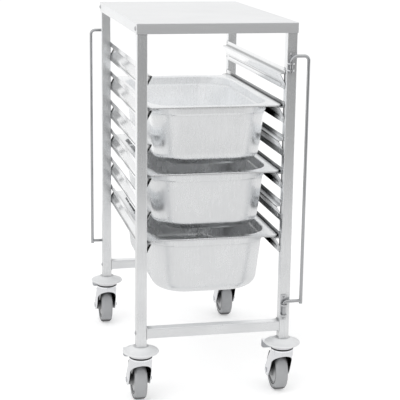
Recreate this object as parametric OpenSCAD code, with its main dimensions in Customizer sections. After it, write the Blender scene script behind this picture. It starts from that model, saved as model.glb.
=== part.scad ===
// Gastronorm tray trolley with a worktop, six pairs of slide rails, three trays,
// two swinging retaining bars and four braked castors with bumper discs.
// Millimetres. X is across the trolley, -Y is its front, +Z is up, floor at z = 0.

/* [Frame] */
// Depth over the posts
frame_d = 610; // [590:1:700]
// Height of the worktop above the floor
worktop_z = 925; // [905:1:1000]
// Side of the square post tube
post_size = 25; // [22:0.5:30]
// Wall of the post tube
post_wall = 1.5; // [1.2:0.1:2]
// Radius of the long edges of posts and crossbars
tube_corner = 2.5; // [2:0.1:4]
// Height of the lower end of the posts
post_foot_z = 148.5; // [146:0.5:152]
// Height of the middle of the crossbars
crossbar_z = 182; // [180:1:192]
// Thickness of the saddle plate at each end of a crossbar
saddle_t = 2; // [1.5:0.1:3]

/* [Worktop] */
// Sheet of the worktop
worktop_sheet = 1.2; // [1:0.1:1.5]
// Height of its folded skirt
skirt_h = 25; // [22:1:32]
// Radius of its folded edges
skirt_bend = 2; // [1:0.1:2.5]
// Gap between skirt and post
skirt_gap = 0.3; // [0.1:0.1:0.6]

/* [Slide rails] */
// Height of the top ledge
first_ledge_z = 804; // [780:1:810]
// Distance from one ledge to the next
level_pitch = 80; // [75:1:84]
// Sheet of the rails
rail_sheet = 1.2; // [1:0.1:1.5]
// Width of the ledge, from the post inwards
ledge_w = 12; // [10:0.5:14]
// Height of the guide web above the ledge
guide_h = 13; // [11:0.5:18]
// Height of the sloping fold under the ledge
fold_h = 23; // [18:0.5:26]
// Height of the flat band under the fold
band_h = 15; // [12:0.5:16]
// Inner radius of the bends in the rail
rail_bend = 1.2; // [0.8:0.1:1.6]
// Gap between the rim of a tray and the guide web on each side
guide_gap = 1.3; // [0.8:0.1:2]
// Distance of the rail ends behind the post faces
rail_setback = 10; // [6:0.5:12]
// Radius of the lower corners of the rail
rail_low_corner = 10; // [6:0.5:12]
// Radius of the upper corners of the rail
rail_high_corner = 5; // [3:0.5:6]
// Depth of the pressed bead in the band
bead_proud = 1; // [0.6:0.1:1.4]
// Height of the pressed bead
bead_h = 7; // [5:0.5:9]

/* [Trays] */
// Length of a tray over its rim
tray_l = 530; // [500:1:540]
// Width of a tray over its rim
tray_w = 325; // [315:0.5:327]
// Depth of a tray
tray_deep = 150; // [60:1:150]
// Width of the flat rim beside the opening
rim_w = 17.5; // [14:0.5:20]
// Height of the rolled edge under the rim
rim_drop = 4; // [3:0.5:5]
// Sheet of a tray
tray_sheet = 0.9; // [0.7:0.1:1.2]
// Radius of the outer corners of the rim
rim_corner = 16; // [10:1:24]
// Radius of the upright corners of the tray
wall_corner = 76; // [60:1:84]
// Radius between walls and bottom
bottom_corner = 32; // [20:1:36]
// How far each wall leans in over the whole depth
wall_lean = 13; // [6:0.5:16]
// Height of the stacking neck under the rim
neck_h = 22; // [15:1:25]
// Width of the stacking step under the neck
neck_step = 2.5; // [1.5:0.1:4]
// Distance of the tray rim behind the front of the posts
tray_setback = 20; // [16:1:30]
// Running gap under the rim
slide_gap = 0.3; // [0.2:0.05:0.4]

/* [Retaining bars] */
// Diameter of the rod
rod_d = 8; // [6:0.5:9]
// Distance from the hinge line to the upright rod
bar_reach = 42; // [38:1:50]
// Distance of the hinge line from the inner edge of the post
pivot_inset = 8; // [8:0.5:10]
// Distance of the hinge line from the face of the post
pivot_out = 9; // [8.5:0.5:11]
// Depth of the top link under the worktop
link_drop = 78; // [68:1:84]
// Height of the bottom link
low_link_z = 248; // [245:1:257]
// Bend radius where the top link turns into its hinge leg
hinge_bend = 15; // [10:1:15]
// Bend radius where the top link turns into the rod
rod_bend = 11; // [9:1:14]
// Bend radius where the bottom link turns into its hinge leg
low_bend = 7; // [7:0.5:9]
// Length of the rod under the bottom link
rod_tail = 7; // [5:0.5:12]
// Clearance around a hinge leg in its lug
hinge_clear = 0.1; // [0.05:0.01:0.15]
// Thickness of a hinge bracket
bracket_t = 2.5; // [2:0.1:3]
// Width of a hinge bracket
bracket_w = 15; // [14:0.5:15.5]
// Height of an upper hinge bracket
upper_bracket_h = 46; // [44:1:50]
// Height of a lower hinge bracket
lower_bracket_h = 64; // [62:1:70]

/* [Castors] */
// Diameter of the wheels
wheel_d = 100; // [96:1:104]
// Width of the tyre
tyre_w = 31; // [26:1:36]
// Thickness of the tyre
tyre_t = 13; // [9:0.5:16]
// How far the wheel trails behind its swivel line
trail = 36; // [34:1:40]
// Width between the fork legs
fork_gap = 52; // [48:0.5:53]
// Thickness of a fork leg at the axle
leg_t = 3; // [2.5:0.1:4]
// Radius of the fork crown
crown_r = 27.5; // [26:0.5:30]
// Height of the top of the fork crown
crown_z = 119.5; // [118:0.5:121]
// Height of the fork arch
arch_z = 106.5; // [105:0.5:108]
// Radius of the eye around the axle
axle_eye_r = 14; // [12:0.5:16]
// Diameter of the axle bolt
axle_d = 8; // [7:0.5:10]
// Diameter of the king pin
king_pin_d = 10; // [8:0.5:12]
// Running clearance of pins and axles
pin_clear = 0.1; // [0.05:0.01:0.15]
// Running gap between faces that turn
face_gap = 0.3; // [0.2:0.05:0.4]
// Radius of the bumper disc
bumper_r = 44; // [40:1:50]
// Thickness of the bumper disc at its edge
bumper_t = 5.5; // [4:0.5:8]
// Height of the whole bumper, from its underside to the foot of the post
bumper_h = 15.5; // [14:0.5:17]
// Height of the race housing under the bumper
head_plate_t = 9; // [7:0.5:10]
// Width of the brake pedal
pedal_w = 62; // [50:1:66]
// Length of the brake pedal behind its pin
pedal_l = 46; // [42:1:47]
// Height of the turned-down end of the brake pedal
pedal_lip = 28; // [15:1:29]
// Sheet of the brake pedal
pedal_t = 3; // [2.5:0.1:3.5]

/* [Fasteners] */
// Diameter of the frame bolts
bolt_d = 6; // [5:0.5:8]
// Diameter of the bracket screws
screw_d = 4; // [3:0.5:4.5]
// Diameter of the rail rivets
rivet_d = 4; // [3:0.5:4.5]
// Clearance around fasteners in their holes
hole_clear = 0.1; // [0.05:0.05:0.2]

/* [Hidden] */

// Colours
steel = "#c9cbcc";
bright_steel = "#dcdddd";
grey_rubber = "#9b9b9b";
pale_plastic = "#dedede";

// Frame, measured from its own middle
half_w = tray_w / 2 + guide_gap + rail_sheet + post_size;
half_d = frame_d / 2;
post_x = half_w - post_size / 2;
post_y = half_d - post_size / 2;
tube_inner = post_size - 2 * post_wall;
post_top_z = worktop_z - worktop_sheet;
worktop_bolt_z = worktop_z - (skirt_h + worktop_sheet) / 2;
skirt_x = half_w + skirt_gap + worktop_sheet;
skirt_y = half_d + skirt_gap + worktop_sheet;

// The frame sits so that the whole trolley is centred over the origin: the wheels trail
// behind the rear posts, and the bumpers or the hinge lugs stand in front of the front ones.
lug_r = bracket_w / 2;
front_reach = max(post_y + bumper_r, half_d + pivot_out + lug_r);
rear_reach = post_y + trail + wheel_d / 2;
frame_y = (front_reach - rear_reach) / 2;

// Rails
rail_face_x = half_w - post_size;
rail_half_l = half_d - rail_setback;
rail_path = [[0, guide_h], [0, -rail_sheet], [-ledge_w, -rail_sheet], [0, -fold_h],
             [0, -fold_h - band_h]];
rail_rivet_y = rail_half_l - (post_size - rail_setback) / 2;
rivet_heights = [(guide_h + rim_drop) / 2 + 0.5, -fold_h - band_h / 2];
rivet_head_r = 3;
rivet_head_h = 1;

// Trays
tray_levels = [2, 4, 6];
tray_y = -half_d + tray_setback + tray_l / 2;
rim_under = slide_gap + rim_drop;
tray_facets = 32;
slice_h = 0.4;
seam_ease = 0.02;

// Hinges of the retaining bars
pivot_x = rail_face_x + pivot_inset;
pivot_y = half_d + pivot_out;
lug_t = 3;
leg_end = 4;
upper_bracket_over = 7;
lower_bracket_over = 15;
lug_spacing = 16;
lug_under_bend = 1;
low_lug_rise = 12;
top_link_z = worktop_z - link_drop;
upper_bracket_z = top_link_z + upper_bracket_over - upper_bracket_h;
lower_bracket_z = low_link_z + lower_bracket_over - lower_bracket_h;
upper_lug_z = top_link_z - hinge_bend - lug_under_bend - lug_t;
upper_lugs = [upper_lug_z - lug_spacing, upper_lug_z];
lower_lugs = [lower_bracket_z + low_lug_rise, low_link_z - low_bend - lug_under_bend - lug_t];
bracket_screw_inset = 4;
screw_head_r = 3.2;
screw_head_h = 1.6;
screw_bite = 4;

// Castors
bumper_z = post_foot_z - bumper_h;
bumper_seat_r = 20;
stem_d = 12;
plug_under_bolt = 6;
plug_h = crossbar_z - bolt_d / 2 - plug_under_bolt - post_foot_z;
plug_gap = 0.2;
pin_head_r = 8;
pin_head_h = 4;
crown_t = crown_z - arch_z;
leg_outer = fork_gap / 2 + leg_t;
axle_head_h = 2.5;
axle_head_r = 0.87 * axle_d;
spot_face_r = axle_head_r + 2;
spot_face_h = 10;
wheel_r = wheel_d / 2;
hub_r = wheel_r - tyre_t;
hub_web = 12;
hub_boss_r = 12;
shoulder_r = 7;
tyre_foot = 1.5;
pedal_pin_y = crown_r + 8.5;
pedal_pin_z = wheel_d + 11.5;
pedal_pin_d = 5;
pedal_tube_r = 4.6;
pedal_rise = 6;
pedal_neck = 8;
pedal_corner = 8;
pedal_bend = 4;
ear_t = 3;
ear_x = 18;

// Fasteners
bolt_head_r = 5.5;
bolt_head_h = 3;
nut_h = 4.5;
nut_r = 5.5;
bolt_end = 1;

function unit(v) = v / norm(v);
function left_of(v) = [-v[1], v[0]];
function reversed(list) = [for (i = [len(list) - 1:-1:0]) list[i]];

// Points of one bend of radius r at corner b of a path a, b, c.
function bend_points(a, b, c, r, steps = 4) =
    let (into = unit(a - b), out = unit(c - b),
         half = acos(into * out) / 2,
         centre = b + unit(into + out) * r / sin(half),
         from = b + into * r / tan(half),
         to = b + out * r / tan(half),
         a0 = atan2(from[1] - centre[1], from[0] - centre[0]),
         turn = atan2(to[1] - centre[1], to[0] - centre[0]) - a0,
         sweep = turn > 180 ? turn - 360 : turn < -180 ? turn + 360 : turn)
    [for (i = [0:steps]) let (a = a0 + sweep * i / steps) centre + r * [cos(a), sin(a)]];

// A path with every corner bent, for a sheet t thick that lies to the right of it. A bend to
// the right has the path on its outside, so its radius there is r + t.
function bent_path(path, r, t) =
    [path[0],
     for (i = [1:len(path) - 2])
         let (turn = cross(path[i] - path[i - 1], path[i + 1] - path[i]))
         each bend_points(path[i - 1], path[i], path[i + 1], turn < 0 ? r + t : r),
     path[len(path) - 1]];

// The same path moved sideways by t.
function beside(path, t) =
    [for (i = [0:len(path) - 1])
        let (before = i == 0 ? path[1] - path[0] : path[i] - path[i - 1],
             after = i == len(path) - 1 ? before : path[i + 1] - path[i],
             n1 = left_of(unit(before)), n2 = left_of(unit(after)),
             n = unit(n1 + n2))
        path[i] + n * t / (n * n1)];

// A closed outline with its corners rounded, each point given as [x, y, corner radius].
function rounded_outline(points) =
    let (n = len(points), xy = [for (p = points) [p[0], p[1]]])
    [for (i = [0:n - 1])
        each bend_points(xy[(i + n - 1) % n], xy[i], xy[(i + 1) % n], points[i][2])];

module rounded_rect(w, d, r) {
    square([w - 2 * r, d], center = true);
    square([w, d - 2 * r], center = true);
    for (x = [-1, 1], y = [-1, 1])
        translate([x * (w / 2 - r), y * (d / 2 - r)]) circle(r = r, $fn = 32);
}

module tube_section() {
    difference() {
        rounded_rect(post_size, post_size, tube_corner);
        rounded_rect(tube_inner, tube_inner, max(tube_corner - post_wall, 0.4));
    }
}

module obround(l, h) {
    square([l - h, h], center = true);
    for (side = [-1, 1]) translate([side * (l - h) / 2, 0]) circle(d = h, $fn = 32);
}

// A bar along X from the origin.
module along_x(d, l) rotate([0, 90, 0]) cylinder(d = d, h = l, $fn = 32);

// A bar along Y from the origin.
module along_y(d, l) rotate([-90, 0, 0]) cylinder(d = d, h = l, $fn = 32);

// A domed head with a shank that starts in it, head outwards along +X, seat at x = 0.
module domed_pin(head_r, head_h, d, l) {
    cap_r = (head_r * head_r + head_h * head_h) / (2 * head_h);
    rotate([0, 90, 0]) intersection() {
        translate([0, 0, head_h - cap_r]) sphere(r = cap_r, $fn = 48);
        cylinder(r = head_r, h = head_h, $fn = 32);
    }
    translate([-l, 0, 0]) along_x(d, l);
}

// Puts what is drawn for the front right corner at corner side_x, side_y.
module at_corner(side_x, side_y) {
    translate([0, frame_y, 0])
        mirror([side_x < 0 ? 1 : 0, 0, 0])
            mirror([0, side_y > 0 ? 1 : 0, 0])
                children();
}

// Worktop: a sheet with its four edges folded down.
module worktop_shell(w, d, h, r) {
    for (x = [-1, 1], y = [-1, 1]) translate([x * (w / 2 - r), y * (d / 2 - r), 0]) {
        cylinder(r = r, h = h - r, $fn = 24);
        translate([0, 0, h - r]) sphere(r = r, $fn = 24);
    }
    for (x = [-1, 1]) translate([x * (w / 2 - r), -(d / 2 - r), h - r]) along_y(2 * r, d - 2 * r);
    for (y = [-1, 1]) translate([-(w / 2 - r), y * (d / 2 - r), h - r]) along_x(2 * r, w - 2 * r);
    translate([-w / 2, -(d / 2 - r), 0]) cube([w, d - 2 * r, h - r]);
    translate([-(w / 2 - r), -d / 2, 0]) cube([w - 2 * r, d, h - r]);
    translate([-(w / 2 - r), -(d / 2 - r), 0]) cube([w - 2 * r, d - 2 * r, h]);
}

module worktop() {
    color(steel) difference() {
        translate([0, frame_y, worktop_z - skirt_h])
            worktop_shell(2 * skirt_x, 2 * skirt_y, skirt_h, skirt_bend);
        translate([worktop_sheet - skirt_x, frame_y + worktop_sheet - skirt_y, worktop_z - skirt_h - 1])
            cube([2 * (skirt_x - worktop_sheet), 2 * (skirt_y - worktop_sheet),
                  skirt_h + 1 - worktop_sheet]);
        for (side_x = [-1, 1], side_y = [-1, 1])
            at_corner(side_x, side_y)
                translate([half_w - 1, -post_y, worktop_bolt_z])
                    along_x(bolt_d + 2 * hole_clear, post_size);
    }
}

// Post with the holes for its bolts, rivets and, where it carries a bar, bracket screws.
module post(side_x, side_y) {
    has_bar = side_x * side_y < 0;
    color(steel) at_corner(side_x, side_y) difference() {
        translate([post_x, -post_y, post_foot_z])
            linear_extrude(post_top_z - post_foot_z) tube_section();
        translate([half_w - 2 * post_wall, -post_y, worktop_bolt_z])
            along_x(bolt_d + 2 * hole_clear, post_size);
        translate([rail_face_x - 1, -post_y, crossbar_z])
            along_x(bolt_d + 2 * hole_clear, post_size + 2);
        for (level = [1:6], z = rivet_heights)
            translate([rail_face_x - 1, -rail_rivet_y, ledge_z(level) + z])
                along_x(rivet_d + 2 * hole_clear, 2 * post_wall);
        if (has_bar)
            for (z = bracket_screw_heights())
                translate([pivot_x, -half_d - 1, z])
                    along_y(screw_d + 2 * hole_clear, 2 * post_wall);
    }
}

// Crossbar: a tube between the posts with a saddle plate welded to each end.
module crossbar(side_y) {
    tube_end = rail_face_x - saddle_t;
    color(steel) translate([0, frame_y + side_y * post_y, crossbar_z]) difference() {
        union() {
            rotate([90, 0, 90]) translate([0, 0, -tube_end])
                linear_extrude(2 * tube_end) tube_section();
            for (side = [-1, 1])
                translate([side * (rail_face_x - saddle_t / 2), 0, 0])
                    rotate([90, 0, 90]) linear_extrude(saddle_t, center = true)
                        rounded_rect(post_size, post_size + 6, tube_corner + 1);
        }
        for (side = [-1, 1])
            translate([side * (rail_face_x - saddle_t / 2) - saddle_t, 0, 0])
                along_x(bolt_d + 2 * hole_clear, 2 * saddle_t);
    }
}

function ledge_z(level) = first_ledge_z - (level - 1) * level_pitch;

// Slide rail: one strip, folded in to make the ledge and back out to the posts, with a
// long bead pressed into the band below. Drawn for the right side.
module rail(level, side) {
    bent = bent_path(rail_path, rail_bend, rail_sheet);
    outline = concat(bent, reversed(beside(bent, -rail_sheet)));
    rail_h = guide_h + fold_h + band_h;
    bead_l = 2 * (rail_half_l - post_size - 5);
    bead_z = -fold_h - band_h / 2;
    color(bright_steel)
    translate([0, frame_y, ledge_z(level)]) mirror([side < 0 ? 1 : 0, 0, 0])
    difference() {
        union() {
            intersection() {
                translate([rail_face_x, rail_half_l, 0]) rotate([90, 0, 0])
                    linear_extrude(2 * rail_half_l) polygon(outline);
                rotate([90, 0, 90]) linear_extrude(2 * half_w) rail_side_view(rail_h);
            }
            translate([rail_face_x - rail_sheet - bead_proud, 0, bead_z])
                rotate([90, 0, 90]) linear_extrude(bead_proud + rail_sheet / 2) obround(bead_l, bead_h);
        }
        translate([rail_face_x - bead_proud, 0, bead_z])
            rotate([90, 0, 90])
                linear_extrude(bead_proud + 1)
                    obround(bead_l - 2 * rail_sheet, bead_h - 2 * rail_sheet);
        for (y = [-rail_rivet_y, rail_rivet_y], z = rivet_heights)
            translate([rail_face_x - 2 * rail_sheet, y, z])
                along_x(rivet_d + 2 * hole_clear, 3 * rail_sheet);
    }
}

// Outline of a rail seen from the side, with its rounded ends.
module rail_side_view(h) {
    intersection() {
        translate([0, guide_h - h / 2]) rounded_rect(2 * rail_half_l, h, rail_high_corner);
        translate([0, guide_h - h / 2 + rail_low_corner / 2])
            rounded_rect(2 * rail_half_l, h + rail_low_corner, rail_low_corner);
    }
}

// One closed form through rounded outlines, each given as [z, inset, corner radius].
module tray_form(outlines) {
    hull() for (o = outlines)
        for (x = [-1, 1], y = [-1, 1])
            translate([x * (tray_w / 2 - o[1] - o[2]), y * (tray_l / 2 - o[1] - o[2]), o[0]])
                cylinder(r = o[2], h = slice_h, $fn = tray_facets);
}

// Outlines of a tray below its neck, t inside its outer skin: the top of the leaning wall,
// then the round from wall to bottom.
function wall_outlines(t) =
    let (top = -neck_h - neck_step, low = bottom_corner - tray_deep, r = bottom_corner - t,
         side_in = rim_w + neck_step + t + seam_ease, lean = wall_lean * (top - low) / (top + tray_deep))
    concat([[top, side_in, wall_corner - t]],
           [for (a = [0:15:90])
               let (drawn_in = r * (1 - cos(a)))
               [low - r * sin(a), side_in + lean + drawn_in, wall_corner - t - 0.9 * drawn_in]]);

// Everything inside the skin of a tray, t inside its outer faces and open to open_z.
module tray_body(t, open_z) {
    tray_form([[open_z, rim_w + t, wall_corner - t], [-neck_h, rim_w + t, wall_corner - t],
               [-neck_h - neck_step, rim_w + neck_step + t, wall_corner - t]]);
    tray_form(wall_outlines(t));
}

// Tray: rim with a rolled edge, stacking neck, leaning walls and a rounded bottom.
module tray(level) {
    color(bright_steel)
    translate([0, frame_y + tray_y, ledge_z(level) + rim_under]) {
        difference() {
            union() {
                tray_body(0, -tray_sheet);
                translate([0, 0, -tray_sheet])
                    linear_extrude(tray_sheet) rounded_rect(tray_w, tray_l, rim_corner);
            }
            tray_body(tray_sheet, 1);
        }
        translate([0, 0, -rim_drop]) linear_extrude(rim_drop) difference() {
            rounded_rect(tray_w, tray_l, rim_corner);
            rounded_rect(tray_w - 2 * tray_sheet, tray_l - 2 * tray_sheet, rim_corner - tray_sheet);
        }
    }
}

// A quarter bend of the rod in the XZ plane about the origin, from +Z round to +X.
module quarter_bend(r) {
    rotate([90, 0, 0]) rotate_extrude(angle = 90, $fn = 64)
        translate([r, 0]) circle(d = rod_d, $fn = 32);
}

// Retaining bar, drawn at the front right: a rod with a link and a hinge leg at each end.
module retaining_bar(side_x, side_y) {
    top_leg_z = upper_lugs[0] - leg_end;
    low_leg_z = lower_lugs[0] - leg_end;
    color(steel) at_corner(side_x, side_y) translate([pivot_x, -pivot_y, 0]) {
        translate([0, 0, top_leg_z])
            cylinder(d = rod_d, h = top_link_z - hinge_bend - top_leg_z, $fn = 32);
        translate([hinge_bend, 0, top_link_z - hinge_bend]) mirror([1, 0, 0]) quarter_bend(hinge_bend);
        translate([hinge_bend, 0, top_link_z]) along_x(rod_d, bar_reach - hinge_bend - rod_bend);
        translate([bar_reach - rod_bend, 0, top_link_z - rod_bend]) quarter_bend(rod_bend);
        translate([bar_reach, 0, low_link_z - rod_tail])
            cylinder(d = rod_d, h = top_link_z - rod_bend - low_link_z + rod_tail, $fn = 32);
        translate([low_bend, 0, low_link_z]) along_x(rod_d, bar_reach - low_bend);
        translate([low_bend, 0, low_link_z - low_bend]) mirror([1, 0, 0]) quarter_bend(low_bend);
        translate([0, 0, low_leg_z])
            cylinder(d = rod_d, h = low_link_z - low_bend - low_leg_z, $fn = 32);
    }
}

function bracket_screw_heights() =
    [upper_bracket_z + upper_bracket_h - bracket_screw_inset,
     (upper_lugs[0] + lug_t + upper_lugs[1]) / 2,
     lower_bracket_z + lower_bracket_h - bracket_screw_inset,
     lower_bracket_z + bracket_screw_inset];

// Hinge bracket: a plate on the post with two drilled lugs for a hinge leg.
module bar_bracket(side_x, side_y, foot_z, h, lug_heights) {
    color(bright_steel) at_corner(side_x, side_y) difference() {
        union() {
            translate([pivot_x, -half_d, foot_z + h / 2]) rotate([90, 0, 0])
                linear_extrude(bracket_t) rounded_rect(bracket_w, h, 2);
            for (z = lug_heights) translate([pivot_x, -pivot_y, z]) {
                cylinder(r = lug_r, h = lug_t, $fn = 32);
                translate([-lug_r, 0, 0]) cube([bracket_w, pivot_out - bracket_t / 2, lug_t]);
            }
        }
        for (z = lug_heights) translate([pivot_x, -pivot_y, z - 1])
            cylinder(d = rod_d + 2 * hinge_clear, h = lug_t + 2, $fn = 32);
        for (z = bracket_screw_heights())
            translate([pivot_x, -half_d - 2 * bracket_t, z])
                along_y(screw_d + 2 * hole_clear, 2 * bracket_t + 1);
    }
}

// Bolts with nuts: worktop skirt to post, and post to crossbar.
module frame_bolts() {
    color(bright_steel) for (side_x = [-1, 1], side_y = [-1, 1]) at_corner(side_x, side_y) {
        translate([skirt_x, -post_y, worktop_bolt_z])
            bolt_with_nut(skirt_x - half_w + post_wall);
        translate([half_w, -post_y, crossbar_z])
            bolt_with_nut(post_size + saddle_t);
    }
}

module bolt_with_nut(grip) {
    domed_pin(bolt_head_r, bolt_head_h, bolt_d, grip + nut_h + bolt_end);
    translate([-grip - nut_h, 0, 0]) rotate([0, 90, 0]) cylinder(r = nut_r, h = nut_h, $fn = 6);
}

module bracket_screws() {
    color(bright_steel) for (side = [-1, 1]) at_corner(side, -side)
        for (z = bracket_screw_heights())
            translate([pivot_x, -half_d - bracket_t, z]) rotate([0, 0, -90])
                domed_pin(screw_head_r, screw_head_h, screw_d, bracket_t + screw_bite);
}

module rail_rivets() {
    color(bright_steel)
    for (side_x = [-1, 1], side_y = [-1, 1], level = [1:6], z = rivet_heights)
        at_corner(side_x, side_y)
            translate([rail_face_x - rail_sheet, -rail_rivet_y, ledge_z(level) + z])
                mirror([1, 0, 0])
                    domed_pin(rivet_head_r, rivet_head_h, rivet_d, rail_sheet + post_wall + 1.5);
}

// Puts a castor piece, drawn about its swivel line, under the post at side_x, side_y.
module at_castor(side_x, side_y) {
    translate([side_x * post_x, frame_y + side_y * post_y, 0]) children();
}

// Bumper disc between post and castor, domed towards the post.
module bumper(side_x, side_y) {
    edge = bumper_t / 2;
    bore_r = stem_d / 2 + hole_clear;
    color(pale_plastic) at_castor(side_x, side_y) translate([0, 0, bumper_z]) rotate_extrude($fn = 96)
        polygon(concat(
            [[bore_r, 0]],
            [for (a = [-90:15:75]) [bumper_r - edge + edge * cos(a), edge + edge * sin(a)]],
            [for (t = [0:0.2:1]) let (s = 1 - t)
                [bumper_seat_r + (bumper_r - edge - bumper_seat_r) * s,
                 bumper_t + (bumper_h - bumper_t) * t * t * (1.4 - 0.4 * t)]],
            [[bore_r, bumper_h]]));
}

// Castor head, fixed to the post: plug, stem, top plate, seal ring, king pin and its head.
module castor_head(side_x, side_y) {
    plate_z = bumper_z - head_plate_t;
    seal_z = crown_z + face_gap;
    pin_low = arch_z - face_gap - pin_head_h;
    plug_r = tube_inner / 2 - plug_gap;
    color(bright_steel) at_castor(side_x, side_y) {
        rotate_extrude($fn = 96) polygon([
            [0, pin_low], [pin_head_r - 1, pin_low], [pin_head_r, pin_low + 1],
            [pin_head_r, arch_z - face_gap],
            [king_pin_d / 2, arch_z - face_gap], [king_pin_d / 2, seal_z],
            [crown_r - 2, seal_z], [crown_r - 2, plate_z], [crown_r + 0.5, plate_z],
            [crown_r + 1, plate_z + 0.5], [crown_r + 1, bumper_z - 1.5], [crown_r - 0.5, bumper_z],
            [stem_d / 2, bumper_z], [stem_d / 2, post_foot_z], [plug_r, post_foot_z],
            [plug_r, post_foot_z + plug_h - 2], [plug_r - 2, post_foot_z + plug_h],
            [0, post_foot_z + plug_h]]);
    }
}

// Castor fork: a crown that turns under the head, drawn down to an eye on each side of the
// wheel, with an arch through it and two ears for the brake pedal.
module castor_fork(side_x, side_y) {
    color(bright_steel) at_castor(side_x, side_y) {
        difference() {
            union() {
                hull() {
                    translate([0, 0, arch_z - 1]) cylinder(r = crown_r, h = crown_t - 2, $fn = 48);
                    translate([0, 0, crown_z - 1]) cylinder(r = crown_r - 1.5, h = 1, $fn = 48);
                    translate([-leg_outer, trail, wheel_r])
                        rotate([0, 90, 0]) cylinder(r = axle_eye_r, h = 2 * leg_outer, $fn = 48);
                }
                for (side = [-1, 1]) pedal_ear(side);
            }
            cube([fork_gap, 8 * crown_r, 2 * arch_z - fork_gap], center = true);
            translate([0, -4 * crown_r, arch_z - fork_gap / 2]) along_y(fork_gap, 8 * crown_r);
            translate([-2 * leg_outer, trail, wheel_r]) along_x(axle_d + 2 * hole_clear, 4 * leg_outer);
            for (x = [-leg_outer - spot_face_h, leg_outer])
                translate([x, trail, wheel_r]) along_x(2 * spot_face_r, spot_face_h);
            translate([0, 0, arch_z - 1])
                cylinder(d = king_pin_d + 2 * pin_clear, h = crown_t + 2, $fn = 48);
            translate([0, 0, arch_z - pin_head_h - 1])
                cylinder(r = pin_head_r + 0.5, h = pin_head_h + 1, $fn = 48);
        }
        translate([-ear_x, pedal_pin_y, pedal_pin_z]) along_x(pedal_pin_d, 2 * ear_x);
    }
}

module pedal_ear(side) {
    ear_y = crown_r - 8;
    translate([side * (ear_x - ear_t / 2) - ear_t / 2, ear_y, pedal_pin_z - pedal_tube_r])
        cube([ear_t, pedal_pin_y - ear_y, 2 * pedal_tube_r]);
    translate([side * (ear_x - ear_t / 2) - ear_t / 2, pedal_pin_y, pedal_pin_z])
        along_x(2 * pedal_tube_r, ear_t);
}

// Axle bolt with its head and nut outside the fork legs.
module castor_axle(side_x, side_y) {
    color(steel) at_castor(side_x, side_y) translate([0, trail, wheel_r]) {
        translate([-leg_outer - axle_head_h, 0, 0]) rotate([0, 90, 0])
            cylinder(r = axle_head_r, h = axle_head_h, $fn = 6);
        translate([-leg_outer - 1, 0, 0]) along_x(axle_d, 2 * leg_outer + axle_head_h + 3);
        translate([leg_outer, 0, 0]) rotate([0, 90, 0])
            cylinder(r = axle_head_r, h = axle_head_h, $fn = 6);
    }
}

// Wheel hub: a dished centre with a rim for the tyre and a boss at each side.
module castor_hub(side_x, side_y) {
    boss_x = fork_gap / 2 - face_gap;
    rim_x = tyre_w / 2 - 2;
    half_section = [[boss_x, axle_d / 2 + pin_clear], [boss_x, hub_boss_r - 1],
                    [boss_x - 1, hub_boss_r], [hub_web / 2, hub_boss_r + 4],
                    [hub_web / 2, hub_r - 7], [rim_x, hub_r - 4], [rim_x, hub_r]];
    color(bright_steel) at_castor(side_x, side_y) translate([0, trail, wheel_r])
        rotate([0, 90, 0]) rotate_extrude($fn = 96)
            polygon(concat([for (p = half_section) [p[1], p[0]]],
                           [for (p = reversed(half_section)) [p[1], -p[0]]]));
}

// Tyre with a crowned tread.
module castor_tyre(side_x, side_y) {
    side = tyre_w / 2;
    shoulder = [for (a = [0:15:90])
        [wheel_r - shoulder_r + shoulder_r * cos(a), side - shoulder_r + shoulder_r * sin(a)]];
    color(grey_rubber) at_castor(side_x, side_y) translate([0, trail, wheel_r])
        rotate([0, 90, 0]) rotate_extrude($fn = 96)
            polygon(concat([[hub_r, side - tyre_foot]],
                           reversed(shoulder),
                           [for (p = shoulder) [p[0], -p[1]]],
                           [[hub_r, tyre_foot - side]]));
}

// Brake pedal: a tube on the pedal pin with a plate that widens towards the foot and is bent
// down at its end.
module brake_pedal(side_x, side_y) {
    tube_half = ear_x - ear_t - face_gap;
    neck_half = tube_half - 1.5;
    plate_z = pedal_tube_r - 0.8;
    bent = bent_path([[0, plate_z], [pedal_l, plate_z], [pedal_l, plate_z - pedal_lip]],
                     pedal_bend, pedal_t);
    half_plan = [[neck_half, 0], [neck_half, pedal_neck],
                 [pedal_w / 2 + 1, pedal_l / 2], [pedal_w / 2 + 1, pedal_l + 1]];
    color(bright_steel) at_castor(side_x, side_y) translate([0, pedal_pin_y, pedal_pin_z])
    difference() {
        union() {
            translate([-tube_half, 0, 0]) along_x(2 * pedal_tube_r, 2 * tube_half);
            rotate([pedal_rise, 0, 0]) intersection() {
                translate([-pedal_w, 0, 0]) rotate([90, 0, 90])
                    linear_extrude(2 * pedal_w) polygon(concat(bent, reversed(beside(bent, -pedal_t))));
                translate([0, 0, -2 * pedal_lip]) linear_extrude(3 * pedal_lip)
                    polygon(concat(half_plan, [for (p = reversed(half_plan)) [-p[0], p[1]]]));
                translate([0, 2 * pedal_l, plate_z]) rotate([90, 0, 0])
                    linear_extrude(3 * pedal_l) rounded_rect(pedal_w, 2 * pedal_lip, pedal_corner);
            }
        }
        translate([-pedal_w, 0, 0]) along_x(pedal_pin_d + 2 * pin_clear, 2 * pedal_w);
    }
}

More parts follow.
